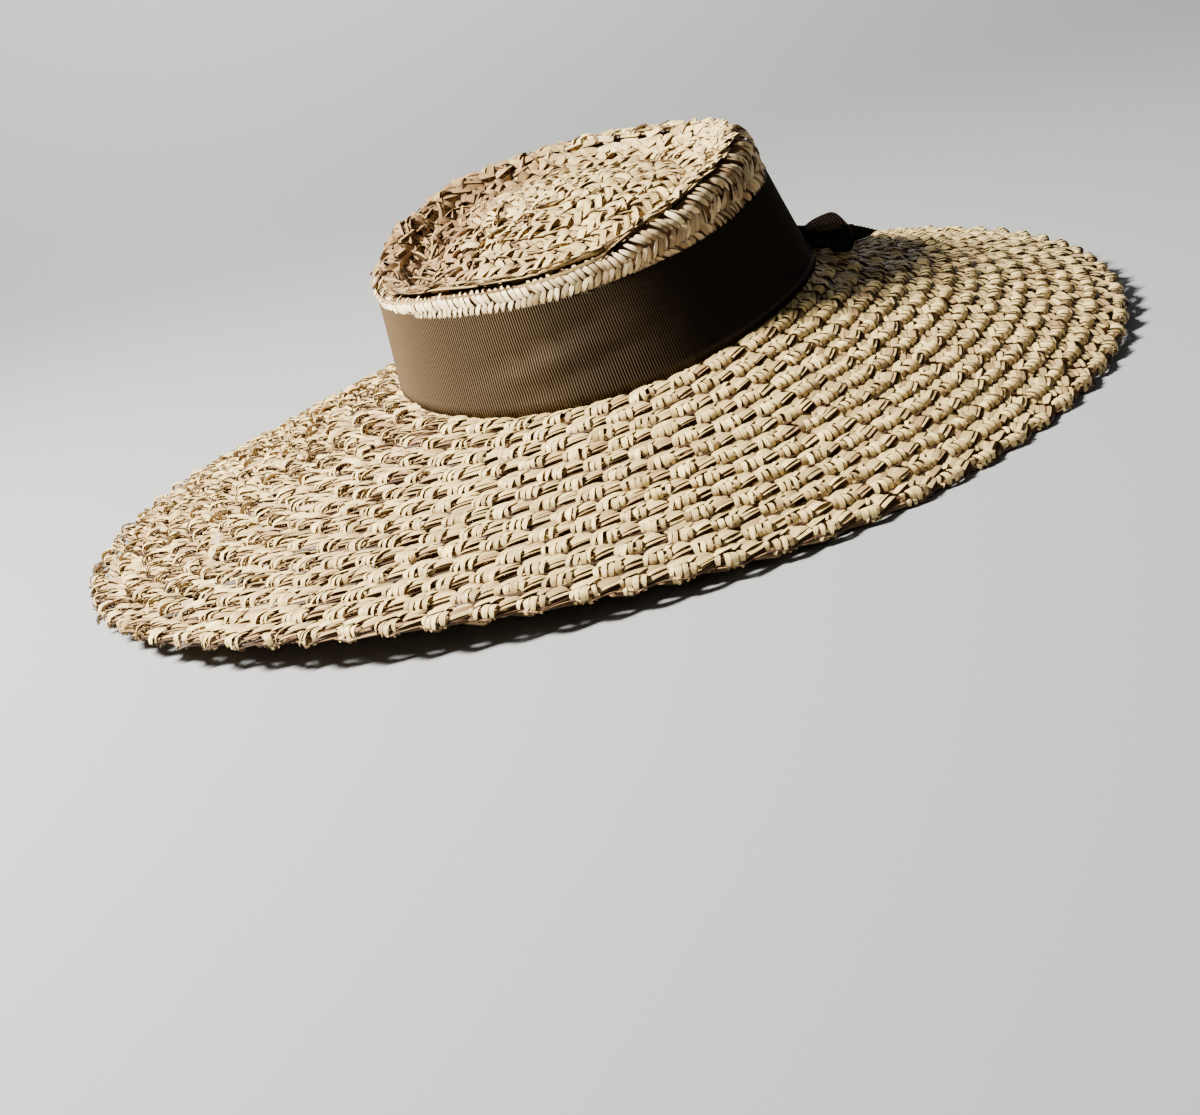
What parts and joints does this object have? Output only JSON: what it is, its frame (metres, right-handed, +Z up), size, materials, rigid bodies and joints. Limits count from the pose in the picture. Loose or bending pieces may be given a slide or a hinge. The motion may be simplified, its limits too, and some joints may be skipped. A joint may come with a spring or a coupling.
{
  "type": "straw hat",
  "caption": "Wide-brimmed hat of sewn straw plait with a shallow dished crown, a flat ribbon band and a small flat bow at the side of the crown.",
  "frame": {"origin": "centre of the brim's outline in plan, at the height of the surface that the brim rests on", "axes": "+Z up through the crown, the wearer's front faces -Y, the bow lies on the +X side"},
  "size_m": [0.4254, 0.446, 0.1041],
  "materials": {
    "brim": "plaited straw, matt with a dull sheen",
    "crown_side": "fine plaited straw",
    "crown_tip": "plaited straw with rust stains",
    "ribbon_band": "ribbed ribbon, dark olive brown",
    "bow_knot": "ribbed ribbon",
    "bow_loop_right": "ribbed ribbon",
    "bow_loop_left": "ribbed ribbon",
    "bow_tail_right": "ribbed ribbon with a pinked end"
  },
  "bodies": {
    "root": {"brim": "brim", "crown_side": "crown_side", "crown_tip": "crown_tip", "ribbon_band": "ribbon_band", "bow_knot": "bow_knot", "bow_loop_right": "bow_loop_right", "bow_loop_left": "bow_loop_left", "bow_tail_right": "bow_tail_right"}
  },
  "joints": []
}
